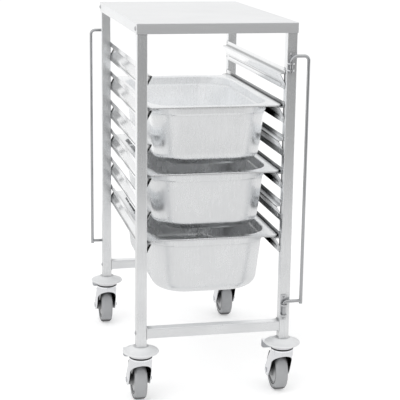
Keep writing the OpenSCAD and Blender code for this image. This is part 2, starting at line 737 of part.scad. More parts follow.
worktop();
post(-1, -1);  // post_front_left
post(1, -1);  // post_front_right
post(-1, 1);  // post_rear_left
post(1, 1);  // post_rear_right
crossbar(-1);  // crossbar_front
crossbar(1);  // crossbar_rear
for (level = [1:6]) {
    rail(level, -1);
    rail(level, 1);
}
tray(tray_levels[0]);  // tray_top
tray(tray_levels[1]);  // tray_middle
tray(tray_levels[2]);  // tray_bottom
retaining_bar(1, -1);  // retaining_bar_right
retaining_bar(-1, 1);  // retaining_bar_left
bar_bracket(1, -1, upper_bracket_z, upper_bracket_h, upper_lugs);  // bar_bracket_upper_right
bar_bracket(1, -1, lower_bracket_z, lower_bracket_h, lower_lugs);  // bar_bracket_lower_right
bar_bracket(-1, 1, upper_bracket_z, upper_bracket_h, upper_lugs);  // bar_bracket_upper_left
bar_bracket(-1, 1, lower_bracket_z, lower_bracket_h, lower_lugs);  // bar_bracket_lower_left
frame_bolts();
bracket_screws();
rail_rivets();
for (corner = [["front_left", -1, -1], ["front_right", 1, -1],
               ["rear_left", -1, 1], ["rear_right", 1, 1]]) {
    name = corner[0];
    bumper(corner[1], corner[2]);
    castor_head(corner[1], corner[2]);
    castor_fork(corner[1], corner[2]);
    castor_axle(corner[1], corner[2]);
    castor_hub(corner[1], corner[2]);
    castor_tyre(corner[1], corner[2]);
    brake_pedal(corner[1], corner[2]);
}
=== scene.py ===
# %% [markdown]
# # A stainless tray trolley in a white studio
# The trolley's sheet, tube and castors come from a measured model, already in place and to size.
# This lesson gives them a camera, a studio and finishes, with some shade and light painted into them,
# and adds the small pieces that a close look would miss. Everything is in metres, with +Z up and the
# trolley's front towards -Y.

# %% Load the measured trolley
import math

import bpy
from mathutils import Euler, Matrix, Vector


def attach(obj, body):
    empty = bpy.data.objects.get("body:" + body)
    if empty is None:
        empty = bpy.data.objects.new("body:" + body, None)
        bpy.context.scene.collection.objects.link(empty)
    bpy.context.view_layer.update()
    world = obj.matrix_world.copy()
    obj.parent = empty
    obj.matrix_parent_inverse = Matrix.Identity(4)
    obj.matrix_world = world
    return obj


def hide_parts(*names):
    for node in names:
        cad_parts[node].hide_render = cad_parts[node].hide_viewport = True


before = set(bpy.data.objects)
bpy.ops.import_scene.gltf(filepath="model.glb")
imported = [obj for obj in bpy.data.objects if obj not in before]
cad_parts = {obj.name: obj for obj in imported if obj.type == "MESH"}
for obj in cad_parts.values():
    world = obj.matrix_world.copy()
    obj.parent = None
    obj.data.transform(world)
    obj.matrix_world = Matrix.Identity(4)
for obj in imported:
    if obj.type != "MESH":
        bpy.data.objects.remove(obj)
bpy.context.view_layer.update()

# %% [markdown]
# ## The camera
# The photograph looks down at the front left corner from about three metres, through a long lens.
# Its place was worked out from the straight edges of the frame. A long lens far away keeps the
# posts nearly parallel, which a short lens close by would not.

# %% Set up the camera
PHOTO_SIDE_PX = 400
FOCAL_PX = 1228.0
SENSOR_MM = 36.0
CAMERA_PLACE = (-0.6479, -3.0779, 1.1927)
LOOK_DOWN_DEG = 13.64
LOOK_RIGHT_DEG = 12.48
ROLL_DEG = 0.79

camera_data = bpy.data.cameras.new("studio_camera")
camera_data.sensor_width = SENSOR_MM
camera_data.lens = SENSOR_MM * FOCAL_PX / PHOTO_SIDE_PX
camera = bpy.data.objects.new("studio_camera", camera_data)
turn = Euler((math.radians(90 - LOOK_DOWN_DEG), 0, math.radians(-LOOK_RIGHT_DEG))).to_matrix()
roll = Matrix.Rotation(math.radians(ROLL_DEG), 3, "Z")
camera.rotation_euler = (turn @ roll).to_euler()
camera.location = CAMERA_PLACE
bpy.context.scene.collection.objects.link(camera)
bpy.context.scene.camera = camera
print("lens", round(camera_data.lens, 1), "mm")

# %% [markdown]
# ## Colours and nodes
# Colours are read off as sRGB hex values and turned to the linear values that shaders work in.
# Every node of every material is added by one small function: an input gets a plain value, or a
# link where the value is another node's socket.

# %% Helpers for colours and shader nodes
WHITE, BLACK = (1, 1, 1, 1), (0, 0, 0, 1)


def linear(hex_colour):
    """A linear RGBA colour from sRGB hex, such as 'C8CACC'."""
    parts = [int(hex_colour[i:i + 2], 16) / 255 for i in (0, 2, 4)]
    return tuple(p / 12.92 if p <= 0.04045 else ((p + 0.055) / 1.055) ** 2.4 for p in parts) + (1.0,)


def add_node(tree, kind, inputs=None, **settings):
    """Adds a node with its settings. An input is a value, or a socket to link from."""
    made = tree.nodes.new(kind)
    for name, value in settings.items():
        setattr(made, name, value)
    for name, value in (inputs or {}).items():
        if isinstance(value, bpy.types.NodeSocket):
            tree.links.new(value, made.inputs[name])
        else:
            made.inputs[name].default_value = value
    return made


MADE = []


def new_material(name):
    """An empty node material, and its tree. It is noted among those made."""
    material = bpy.data.materials.new(name)
    material.use_nodes = True
    material.node_tree.nodes.clear()
    MADE.append(material)
    return material, material.node_tree


def finish_material(tree, shader):
    """Links the shader to the material's output."""
    add_node(tree, "ShaderNodeOutputMaterial", {"Surface": shader.outputs[0]})


# %% [markdown]
# ## The studio
# The trolley stands on a wide white floor under an even white sky, as in a catalogue. The floor
# and the sky are white where the camera, metal or glass looks at them, and the floor still takes
# the trolley's soft shadow. Polished steel shows only what is round it, so the dim parts of the
# studio are cards that only reflections see. One lies on the floor round the trolley and one stands
# in front of it, each fading from one grey to another. The lamp lights the floor and the plastics
# only: steel would show it as a burnt-out patch, so reflections don't see it.

# %% A helper for what is seen as white
def seen_as_white(tree):
    """A socket that is 1 where the camera, metal or glass looks, and 0 where light only bounces."""
    ray = add_node(tree, "ShaderNodeLightPath")
    seen = ray.outputs["Is Camera Ray"]
    for kind in ("Is Glossy Ray", "Is Transmission Ray"):
        seen = add_node(tree, "ShaderNodeMath", {0: seen, 1: ray.outputs[kind]},
                        operation="MAXIMUM").outputs[0]
    return seen


# %% Build the floor
FLOOR_SIDE = 80.0
FLOOR_LIFT = 0.30

bpy.ops.object.select_all(action="DESELECT")
bpy.ops.mesh.primitive_plane_add(size=FLOOR_SIDE, location=(0, 0, 0))
floor = bpy.context.object
floor.name = "studio_floor"
paper, tree = new_material("white_paper")
lift = add_node(tree, "ShaderNodeMath", {0: seen_as_white(tree), 1: FLOOR_LIFT}, operation="MULTIPLY")
matt = add_node(tree, "ShaderNodeBsdfDiffuse", {"Color": linear("F4F4F4")})
glow = add_node(tree, "ShaderNodeEmission", {"Color": WHITE, "Strength": lift.outputs[0]})
both = add_node(tree, "ShaderNodeAddShader", {0: matt.outputs[0], 1: glow.outputs[0]})
finish_material(tree, both)
floor.data.materials.append(paper)
print("floor", FLOOR_SIDE, "m wide")

# %% Build the sky
SKY_SEEN = 1.0
SKY_LIGHT = 0.85

sky = bpy.data.worlds.new("studio_sky")
bpy.context.scene.world = sky
sky.use_nodes = True
sky.node_tree.nodes.clear()
level = add_node(sky.node_tree, "ShaderNodeMapRange", {
    "Value": seen_as_white(sky.node_tree), "To Min": SKY_LIGHT, "To Max": SKY_SEEN})
white = add_node(sky.node_tree, "ShaderNodeBackground", {"Color": WHITE, "Strength": level.outputs[0]})
add_node(sky.node_tree, "ShaderNodeOutputWorld", {"Surface": white.outputs[0]})
bpy.context.scene.view_settings.view_transform = "Standard"
print("sky light", SKY_LIGHT)

# %% Hang one soft lamp
LAMP_SIDE = 2.4
LAMP_WATTS = 26
LAMP_PLACE = Vector((-1.6, -1.8, 3.2))
LAMP_AIM = Vector((0, 0, 0.5))

lamp_data = bpy.data.lights.new("soft_box", "AREA")
lamp_data.shape = "SQUARE"
lamp_data.size = LAMP_SIDE
lamp_data.energy = LAMP_WATTS
lamp = bpy.data.objects.new("soft_box", lamp_data)
lamp.location = LAMP_PLACE
lamp.rotation_euler = (LAMP_AIM - LAMP_PLACE).to_track_quat("-Z", "Y").to_euler()
lamp.visible_glossy = False
bpy.context.scene.collection.objects.link(lamp)
print("lamp", LAMP_WATTS, "W")


# %% Set the dim cards that only reflections see
def dim_card(name, centre, width, length, hex_start, hex_end, fade, lying=False):
    """A card that only glossy rays see. It fades along its length between the two shares in fade,
    counted from its foot up, or from front to rear where it is lying."""
    bpy.ops.object.select_all(action="DESELECT")
    bpy.ops.mesh.primitive_plane_add(size=1, location=centre,
                                     rotation=(0 if lying else math.radians(90), 0, 0))
    card = bpy.context.object
    card.name = name
    card.scale = (width, length, 1)
    material, tree = new_material(name + "_cloth")
    place = add_node(tree, "ShaderNodeTexCoord").outputs["Object"]
    along = add_node(tree, "ShaderNodeSeparateXYZ", {0: place}).outputs["Y"]
    share = add_node(tree, "ShaderNodeMapRange", {"Value": along, "From Min": fade[0] - 0.5,
                                                  "From Max": fade[1] - 0.5})
    colour = add_node(tree, "ShaderNodeMix", {"Factor": share.outputs[0], "A": linear(hex_start),
                                              "B": linear(hex_end)}, data_type="RGBA")
    finish_material(tree, add_node(tree, "ShaderNodeEmission", {"Color": colour.outputs["Result"],
                                                                "Strength": 1.0}))
    card.data.materials.append(material)
    card.visible_camera = False
    card.visible_diffuse = False
    card.visible_shadow = False
    card.visible_transmission = False
    print(name, width, "m wide,", length, "m long")


CARD_CLEAR = 0.002  # so that the lying card and the floor aren't in one plane
dim_card("dim_floor", (0, -0.45, CARD_CLEAR), 8.0, 4.1, "CECECE", "ECECEC", (0.0, 0.14), lying=True)
dim_card("dim_front", (-0.4, -2.5, 0.5), 6.0, 1.0, "B4B4B4", "9C9C9C", (0.1, 0.6))

# %% [markdown]
# ## Stainless steel
# Nearly everything here is 18/8 stainless sheet and tube. What sets the pieces apart is how the
# surface was left: brushed along the tube, satin from drawing on the trays, bright from the mill
# on the rails, and polished on the bars. Each finish is a metal with a fine streaked grain, made
# from noise that is stretched along the brushing and drawn a little coarser than the real 0.2 mm
# scratches so that it shows, and with faint patches where hands and cloths have been. Shade is
# painted into narrow gaps between sheets: ambient occlusion over a few centimetres darkens the
# metal's colour there, but only for the camera, because reflections darken by themselves. The rails
# get a fine painted dark line of shade in every fold as well, and those that a tray's rim shuts in
# get deeper painted shade still. Light is painted into wide hollows: after a number of bounces a
# finish may glow evenly, standing in for the many bounces of light there, and on its undersides
# only where it says so.

# %% A helper for painted shade in gaps
MM = 0.001
AO_SAMPLES = 16


def shade_gaps(tree, colour, gap_mm, gap_power, shaded_by="all", fold_shade_mm=None):
    """That colour, with shade painted in where the camera sees into a gap of about gap_mm, and the
    share of light left there. What closes the gap may be 'all' pieces, the piece's 'own' form or the
    'others' alone. With fold_shade_mm there is also a fine painted dark line of shade in every fold."""
    only_own = {"all": [False], "own": [True], "others": [False, True]}[shaded_by]
    # Painted shade: ambient occlusion darkens the colour where pieces close a gap, for the camera only.
    light = [add_node(tree, "ShaderNodeAmbientOcclusion", {"Distance": gap_mm * MM},
                      samples=AO_SAMPLES, only_local=own).outputs["AO"] for own in only_own]
    openness = light[0]
    if shaded_by == "others":
        openness = add_node(tree, "ShaderNodeMath", {0: light[0], 1: light[1]}, operation="DIVIDE",
                            use_clamp=True).outputs[0]
    open_share = add_node(tree, "ShaderNodeMath", {0: openness, 1: gap_power}, operation="POWER")
    # A painted dark line of shade in every fold, from ambient occlusion over a few millimetres.
    if fold_shade_mm:
        line = add_node(tree, "ShaderNodeAmbientOcclusion", {"Distance": fold_shade_mm * MM},
                        samples=AO_SAMPLES)
        open_share = add_node(tree, "ShaderNodeMath", {0: open_share.outputs[0], 1: line.outputs["AO"]},
                              operation="MULTIPLY")
    ray = add_node(tree, "ShaderNodeLightPath")
    indirect = add_node(tree, "ShaderNodeMath", {0: 1.0, 1: ray.outputs["Is Camera Ray"]},
                        operation="SUBTRACT")
    share = add_node(tree, "ShaderNodeMath", {0: open_share.outputs[0], 1: indirect.outputs[0]},
                     operation="MAXIMUM")
    shaded = add_node(tree, "ShaderNodeMix", {"Factor": share.outputs[0], "A": BLACK, "B": colour},
                      data_type="RGBA")
    return shaded.outputs["Result"], share.outputs[0]


# %% A helper for a painted even glow in hollows
PAINTED_GLOW_STRENGTH = 1.1
UNDERSIDE_Z = -0.5  # a face whose normal points lower than this is an underside
ANY_FACE_Z = -2.0  # below every normal, so that no face is left out


def paint_even_glow(tree, shader, colour, glow_after, glow_below):
    """The shader, which glows evenly in that colour for rays that have bounced glow_after times:
    painted light standing in for the many bounces in a hollow.
    """
    bounces = add_node(tree, "ShaderNodeLightPath").outputs["Ray Depth"]
    late = add_node(tree, "ShaderNodeMath", {0: bounces, 1: glow_after - 0.5},
                    operation="GREATER_THAN")
    facing = add_node(tree, "ShaderNodeNewGeometry").outputs["True Normal"]
    upward = add_node(tree, "ShaderNodeSeparateXYZ", {0: facing}).outputs["Z"]
    lit = add_node(tree, "ShaderNodeMath", {0: upward, 1: ANY_FACE_Z if glow_below else UNDERSIDE_Z},
                   operation="GREATER_THAN")
    late = add_node(tree, "ShaderNodeMath", {0: late.outputs[0], 1: lit.outputs[0]},
                    operation="MULTIPLY")
    # Painted light: an emission in the finish's own colour, though it is no lamp.
    even = add_node(tree, "ShaderNodeEmission", {"Color": colour, "Strength": PAINTED_GLOW_STRENGTH})
    return add_node(tree, "ShaderNodeMixShader", {"Fac": late.outputs[0], 1: shader.outputs[0],
                                                  2: even.outputs[0]})


# %% A helper for steel
STREAK_SHARE = 0.02  # the grain's scale along the brushing, as a share of its scale across
TONE_LOW, TONE_HIGH = 0.7, 1.3  # the range that grain and patches added together mostly keep to
SCRATCH_MM = 0.1
GRAIN_NOISE = {"Scale": 1.0, "Detail": 3.0, "Roughness": 0.6}
PATCH_NOISE = {"Detail": 4.0, "Roughness": 0.55}


def steel(name, hex_light, hex_dark, roughness, grain_along, grain_mm, grain_depth, patch_mm=60,
          roughness_spread=0.06, gap_mm=20, gap_power=1.0, shaded_by="all", glow_after=None,
          glow_below=False, fold_shade_mm=None):
    """Bare or plated steel with its grain along 'X', 'Y' or 'Z', grain_mm wide, its patches patch_mm
    wide, and painted shade in gaps of gap_mm. With glow_after it glows with painted even light, which
    stands in for the light of hollows."""
    material, tree = new_material(name)
    place = add_node(tree, "ShaderNodeTexCoord").outputs["Object"]
    across = 1 / (grain_mm * MM)
    stretch = [across * (STREAK_SHARE if axis == grain_along else 1.0) for axis in "XYZ"]
    stretched = add_node(tree, "ShaderNodeMapping", {"Vector": place, "Scale": stretch})
    grain = add_node(tree, "ShaderNodeTexNoise", {"Vector": stretched.outputs[0], **GRAIN_NOISE})
    patches = add_node(tree, "ShaderNodeTexNoise", {"Vector": place, "Scale": 1 / (patch_mm * MM),
                                                    **PATCH_NOISE})
    mixed = add_node(tree, "ShaderNodeMath", {0: grain.outputs["Fac"], 1: patches.outputs["Fac"]},
                     operation="ADD")
    tone = add_node(tree, "ShaderNodeMapRange", {"Value": mixed.outputs[0], "From Min": TONE_LOW,
                                                 "From Max": TONE_HIGH})
    colour = add_node(tree, "ShaderNodeMix", {"Factor": tone.outputs[0], "A": linear(hex_dark),
                                              "B": linear(hex_light)}, data_type="RGBA")
    rough = add_node(tree, "ShaderNodeMapRange", {"Value": mixed.outputs[0], "From Min": TONE_LOW,
                                                  "From Max": TONE_HIGH,
                                                  "To Min": roughness + roughness_spread,
                                                  "To Max": roughness - roughness_spread})
    ridges = add_node(tree, "ShaderNodeBump", {"Height": grain.outputs["Fac"], "Strength": grain_depth,
                                               "Distance": SCRATCH_MM * MM})
    # Painted shade in gaps and folds; its share also sets Specular Tint, so the painted gaps dim the
    # metal's reflection too.
    shaded, light_left = shade_gaps(tree, colour.outputs["Result"], gap_mm, gap_power, shaded_by,
                                    fold_shade_mm)
    shader = add_node(tree, "ShaderNodeBsdfPrincipled", {
        "Base Color": shaded, "Metallic": 1.0, "Roughness": rough.outputs[0],
        "Specular Tint": light_left, "Normal": ridges.outputs[0]})
    # Painted light: the finish glows evenly for rays that have bounced that many times.
    if glow_after is not None:
        shader = paint_even_glow(tree, shader, colour.outputs["Result"], glow_after, glow_below)
    finish_material(tree, shader)
    return material


# %% Make the stainless steels
# Sheet brushed along X before it was folded: a soft even sheen with hardly a patch on it. It also
# gives painted light: an even glow, on its underside too, that rays see after one bounce.
WORKTOP_STEEL = steel("brushed_sheet_steel", "ECEDEE", "E5E6E7", 0.30, "X", 1.2, 0.2, patch_mm=140,
                      roughness_spread=0.02, glow_after=1, glow_below=True)
# Square tube brushed along its length: upright streaks, and reflections drawn out along the post.
POST_STEEL = steel("brushed_tube_steel_upright", "F1F2F3", "E7E8E9", 0.24, "Z", 0.8, 0.3, gap_power=0.5)
# The same tube lying across and a little duller, so the floor's light spreads over it.
CROSSBAR_STEEL = steel("brushed_tube_steel_across", "F1F2F3", "E8E9EA", 0.32, "X", 0.8, 0.3)
# Mill sheet: painted shade in its folds and in gaps that other pieces close, and a painted glow after
# three bounces.
MILL_SHEET = dict(hex_light="EDEEEF", hex_dark="E6E7E8", roughness=0.12, grain_along="Y", grain_mm=1.5,
                  grain_depth=0.12, roughness_spread=0.03, shaded_by="others", fold_shade_mm=7, glow_after=3)
# Bright mill sheet: the folds mirror each other and the posts in sharp light and dark bands, deepened
# by painted shade.
RAIL_STEEL = steel("bright_mill_steel", gap_mm=45, gap_power=1.0, **MILL_SHEET)
# The same sheet with deeper painted shade, where a tray's rim lies over it and keeps more of the light
# out.
DEEP_SHADED_RAIL_STEEL = steel("bright_mill_steel_with_deep_painted_shade", gap_mm=48, gap_power=1.8, **MILL_SHEET)
# Deep drawing leaves the sheet satin: broad soft highlights that bend round the corners, no lines.
# Painted shade darkens it under its rim and in its inner corners.
TRAY_STEEL = steel("satin_drawn_steel", "F0F1F2", "E9EAEB", 0.28, "Z", 3.0, 0.05,
                   roughness_spread=0.02, gap_mm=12, gap_power=0.9)
# The same on the top tray, which is open to the studio: a lighter painted colour and a painted even
# glow after two bounces make its inside bright all over.
BRIGHT_PAINTED_TRAY_STEEL = steel("satin_drawn_steel_painted_bright", "F5F6F7", "EEEFF0", 0.27, "Z", 3.0, 0.05,
                        roughness_spread=0.02, gap_mm=12, gap_power=0.9, glow_after=2)
# Polished rod: one thin bright line and one dark one run along it, as on any shiny round bar.
ROD_STEEL = steel("polished_rod_steel", "C0C1C3", "B4B5B7", 0.13, "Z", 0.8, 0.1,
                  roughness_spread=0.03)
# Satin sheet, cut and bent: it stays pale, so the lugs don't stand out from the posts.
BRACKET_STEEL = steel("satin_bracket_steel", "D9DADB", "CFD0D2", 0.25, "Z", 0.8, 0.2, gap_power=0.15)
# Turned and headed fasteners: duller and a shade darker than the sheet that they hold.
FASTENER_STEEL = steel("turned_fastener_steel", "C9CACC", "B9BABC", 0.28, "X", 0.6, 0.2)
print("materials so far:", len(MADE))

# %% [markdown]
# ## Zinc plate
# The castors are pressed from mild steel and plated with bright zinc against rust. Plating leaves no
# brushed lines, so the grain here is wide and very shallow, and the colour is paler and a touch bluer
# than stainless. The same function makes it, because only the numbers differ. The forks and the
# flanges inside them get wide painted shade in their gaps, and the flanges a darker painted grey,
# which is how the hollow under a fork's arch reads.

# %% Make the zinc-plated steels
# Bright zinc plate over pressed steel: paler and a touch bluer than the stainless above it.
CASTOR_STEEL = steel("bright_zinc_plate", "F6F7F9", "ECEDF0", 0.17, "Z", 2.0, 0.08,
                     roughness_spread=0.04, gap_power=0.7)
# The same plate on the forks, with painted shade from their own form darkening the hollow under their
# arch.
FORK_STEEL = steel("bright_zinc_plate_on_forks", "F3F4F6", "E9EAED", 0.17, "Z", 2.0, 0.08,
                   roughness_spread=0.04, gap_mm=80, gap_power=5, shaded_by="own")
# The same plate on the pedals, blunted by soles: no clear reflections, and pale underneath too, from a
# painted even glow that rays see after one bounce, undersides included.
PEDAL_STEEL = steel("bright_zinc_plate_on_pedals", "F4F5F6", "ECEDEF", 0.35, "X", 2.0, 0.08,
                    roughness_spread=0.04, gap_mm=8, gap_power=0.5, glow_after=1, glow_below=True)
# The same plate inside the forks, painted grey: a darker colour and deep painted shade stand for the
# little light that gets in there.
FLANGE_STEEL = steel("zinc_plate_inside_forks", "C9CACC", "BFC0C3", 0.3, "Z", 2.0, 0.08,
                     gap_mm=50, gap_power=5)
print("materials so far:", len(MADE))

# %% [markdown]
# ## Rubber and plastic
# The tyres are grey thermoplastic rubber, which leaves no marks on a kitchen floor. The bumpers are
# a paler soft plastic, the hubs are moulded polypropylene, and the seals are dark nitrile rubber.
# All of them come from a mould, whose fine spark-eroded grain takes the mirror out of the surface.
# The same small function makes all four from one noise for the grain and one for the cloudiness,
# and paints shade into their gaps with ambient occlusion, as for steel.

# %% A helper for moulded rubber and plastic
ROUGHNESS_SPREAD = 0.05
CLOUD_MM = 25
GRIT_STRENGTH, GRIT_DETAIL, CLOUD_DETAIL = 0.4, 2.0, 4.0
PLASTIC_IOR = 1.5


def moulded(name, hex_light, hex_dark, roughness, grit_mm, depth_mm, gap_mm=20, gap_power=1.0):
    """Rubber or plastic with a fine moulded grain, a little cloudiness and painted shade in gaps of
    gap_mm.
    """
    material, tree = new_material(name)
    place = add_node(tree, "ShaderNodeTexCoord").outputs["Object"]
    grit = add_node(tree, "ShaderNodeTexNoise", {"Vector": place, "Scale": 1 / (grit_mm * MM),
                                                 "Detail": GRIT_DETAIL})
    cloud = add_node(tree, "ShaderNodeTexNoise", {"Vector": place, "Scale": 1 / (CLOUD_MM * MM),
                                                  "Detail": CLOUD_DETAIL})
    colour = add_node(tree, "ShaderNodeMix", {"Factor": cloud.outputs["Fac"], "A": linear(hex_dark),
                                              "B": linear(hex_light)}, data_type="RGBA")
    rough = add_node(tree, "ShaderNodeMapRange", {"Value": cloud.outputs["Fac"],
                                                  "To Min": roughness - ROUGHNESS_SPREAD,
                                                  "To Max": roughness + ROUGHNESS_SPREAD})
    bumps = add_node(tree, "ShaderNodeBump", {"Height": grit.outputs["Fac"],
                                              "Strength": GRIT_STRENGTH, "Distance": depth_mm * MM})
    # Painted shade in gaps, which also dims the sheen through Specular Tint.
    shaded, light_left = shade_gaps(tree, colour.outputs["Result"], gap_mm, gap_power)
    shader = add_node(tree, "ShaderNodeBsdfPrincipled", {
        "Base Color": shaded, "Roughness": rough.outputs[0], "IOR": PLASTIC_IOR,
        "Specular Tint": light_left, "Normal": bumps.outputs[0]})
    finish_material(tree, shader)
    return material


# %% Make the moulded materials
# Matt rubber: no highlight at all, and slightly cloudy from the dust of the floor.
# Painted shade darkens it where the fork closes round it.
TYRE_RUBBER = moulded("grey_tyre_rubber", "B2B3B5", "A8A9AB", 0.62, 0.8, 0.2,
                      gap_mm=18, gap_power=2.0)
# Soft pale plastic: a wide dull sheen on the rounded rim.
BUMPER_PLASTIC = moulded("pale_bumper_plastic", "EEEFF0", "E6E7E8", 0.45, 1.0, 0.1,
                         gap_mm=12, gap_power=0.8)
# Polypropylene: a waxy, slightly clearer sheen, with painted shade darker down in the dish of the hub.
HUB_PLASTIC = moulded("grey_hub_polypropylene", "D4D5D6", "CBCCCE", 0.4, 1.0, 0.1,
                      gap_mm=30, gap_power=2.0)
# Near-black rubber, which reads as a line because it is so much darker than what is round it.
SEAL_RUBBER = moulded("dark_seal_rubber", "161718", "101112", 0.5, 1.0, 0.1)
print("materials so far:", len(MADE))

# %% [markdown]
# ## Which finish goes where
# A piece takes the finish of the longest name in the table that its own name starts with, so one
# line covers all posts, and a single piece can still have a line of its own. The rails of the
# levels that hold a tray are such a case: the tray's rim lies over them, so they take deeper painted
# shade.

# %% Give every measured piece its finish
FINISHES = {
    "worktop": WORKTOP_STEEL, "post": POST_STEEL, "crossbar": CROSSBAR_STEEL, "rail": RAIL_STEEL,
    "tray": TRAY_STEEL, "retaining_bar": ROD_STEEL, "bar_bracket": BRACKET_STEEL,
    "frame_bolts": FASTENER_STEEL, "bracket_screws": FASTENER_STEEL, "rail_rivets": FASTENER_STEEL,
    "castor_axle": CASTOR_STEEL, "castor_head": CASTOR_STEEL, "castor_fork": FORK_STEEL,
    "brake_pedal": PEDAL_STEEL, "bumper": BUMPER_PLASTIC, "castor_hub": HUB_PLASTIC,
    "castor_tyre": TYRE_RUBBER,
}
TRAY_LEVELS = (2, 4, 6)
for level in TRAY_LEVELS:
    FINISHES[f"rail_left_{level}"] = FINISHES[f"rail_right_{level}"] = DEEP_SHADED_RAIL_STEEL
for name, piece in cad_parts.items():
    family = max((f for f in FINISHES if name.startswith(f)), key=len)
    for slot in piece.material_slots:
        slot.material = FINISHES[family]
print("finished nodes:", len(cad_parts))

# %% [markdown]
# ## Smooth trays
# A deep-drawn tray has no facets: its corners run smoothly from the rim to the rounded bottom, and
# the reflections in them show every flat. So each tray is modelled again. A flat rim is bridged
# from two rounded plates, then the inner edge is drawn down step by step round the lip, the
# stacking neck, its step, the leaning wall and the bottom, and the sheet gets its thickness last.

# %% Helpers for modelling
def start_piece(name, half, corner, steps):
    """The outline of a rounded plate of that half size at height 0, left in edit mode, selected."""
    bpy.ops.object.select_all(action="DESELECT")
    bpy.ops.mesh.primitive_plane_add(size=2, location=(0, 0, 0))
    plate = bpy.context.object
    plate.name = name
    plate.scale = (half[0], half[1], 1)
    bpy.ops.object.transform_apply(location=True, rotation=True, scale=True)
    bpy.ops.object.mode_set(mode="EDIT")
    bpy.ops.mesh.select_all(action="SELECT")
    bpy.ops.mesh.bevel(offset=corner, offset_type="OFFSET", segments=steps, affect="VERTICES")
    bpy.ops.mesh.select_all(action="SELECT")
    bpy.ops.mesh.delete(type="ONLY_FACE")
    return plate


SPARE = 0.1 * MM


def within(point, half):
    """Whether a point lies inside a half size, give or take a little."""
    return abs(point.x) < half[0] + SPARE and abs(point.y) < half[1] + SPARE


def select_ring(piece, inside, outside):
    """Selects the edges at height 0 that lie outside one half size and within the other."""
    bpy.ops.object.mode_set(mode="OBJECT")
    chosen = [abs(v.co.z) < SPARE and within(v.co, outside) and not within(v.co, inside)
              for v in piece.data.vertices]
    bpy.ops.object.mode_set(mode="EDIT")
    bpy.ops.mesh.select_mode(type="EDGE")
    bpy.ops.mesh.select_all(action="DESELECT")
    bpy.ops.object.mode_set(mode="OBJECT")
    for edge in piece.data.edges:
        edge.select = all(chosen[v] for v in edge.vertices)
    bpy.ops.object.mode_set(mode="EDIT")


def draw_down(half, drop, draw_in):
    """Extrudes the selected loop down and draws it in towards the middle. Returns its half size."""
    bpy.ops.mesh.extrude_edges_move(TRANSFORM_OT_translate={"value": (0, 0, -drop)})
    smaller = (half[0] - draw_in, half[1] - draw_in)
    bpy.ops.transform.resize(value=(smaller[0] / half[0], smaller[1] / half[1], 1),
                             center_override=(0, 0, 0))
    return smaller


def round_down(half, radius, side, steps):
    """Draws the loop down round a quarter circle. Side 1 turns from flat to upright going in, and
    side -1 the same going out; a negative radius turns from upright to flat."""
    for i in range(steps):
        a, b = (math.pi / 2 * k / steps for k in (i, i + 1))
        along, across = math.sin(b) - math.sin(a), math.cos(a) - math.cos(b)
        if radius > 0:
            half = draw_down(half, radius * across, side * radius * along)
        else:
            half = draw_down(half, -radius * along, side * radius * across)
    return half


SMOOTH_DEG = 40


def close_piece(piece, body, material, stands_for=()):
    """Gives a modelled piece its finish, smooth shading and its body."""
    bpy.ops.object.select_all(action="DESELECT")
    piece.select_set(True)
    bpy.context.view_layer.objects.active = piece
    piece.data.materials.clear()
    piece.data.materials.append(material)
    bpy.ops.object.shade_smooth_by_angle(angle=math.radians(SMOOTH_DEG))
    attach(piece, body)
    if stands_for:
        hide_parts(*stands_for)


def set_copy(model, name, place, body, material, stands_for=(), turn_deg=0):
    """Sets a copy of a modelled piece, with its own mesh, turned about Z and put in its place."""
    bpy.ops.object.select_all(action="DESELECT")
    model.select_set(True)
    bpy.context.view_layer.objects.active = model
    bpy.ops.object.duplicate(linked=False)
    piece = bpy.context.object
    piece.name = name
    piece.rotation_euler = (0, 0, math.radians(turn_deg))
    piece.location = place
    bpy.ops.object.transform_apply(location=True, rotation=True, scale=True)
    close_piece(piece, body, material, stands_for)


# %% The sizes of a tray
TRAY_L, TRAY_W, TRAY_DEEP = 530 * MM, 325 * MM, 150 * MM
RIM_W, RIM_CORNER, RIM_DROP, RIM_R = 17.5 * MM, 16 * MM, 4 * MM, 1.2 * MM
WALL_CORNER, BOTTOM_R, WALL_LEAN = 76 * MM, 32 * MM, 13 * MM
NECK_H, NECK_STEP, LIP_R, TRAY_SHEET = 22 * MM, 2.5 * MM, 4 * MM, 0.9 * MM
STEP_R, STEP_EASE = 1.5 * MM, 0.3 * MM
CORNER_STEPS, EDGE_STEPS, LIP_STEPS, BOTTOM_STEPS = 24, 3, 4, 10

opening = (TRAY_W / 2 - RIM_W - TRAY_SHEET + LIP_R, TRAY_L / 2 - RIM_W - TRAY_SHEET + LIP_R)
rim = (TRAY_W / 2 - RIM_R, TRAY_L / 2 - RIM_R)
print("tray opening:", [round(2 * h / MM, 1) for h in opening], "mm")

# %% Make its flat rim
hole = start_piece("tray_hole", opening, WALL_CORNER + LIP_R, CORNER_STEPS)
bpy.ops.object.mode_set(mode="OBJECT")
tray = start_piece("tray", rim, RIM_CORNER - RIM_R, CORNER_STEPS)
bpy.ops.object.mode_set(mode="OBJECT")
hole.select_set(True)
bpy.ops.object.join()
bpy.ops.object.mode_set(mode="EDIT")
bpy.ops.mesh.select_all(action="SELECT")
bpy.ops.mesh.bridge_edge_loops()
bpy.ops.object.mode_set(mode="OBJECT")
print("faces in the rim:", len(tray.data.polygons))

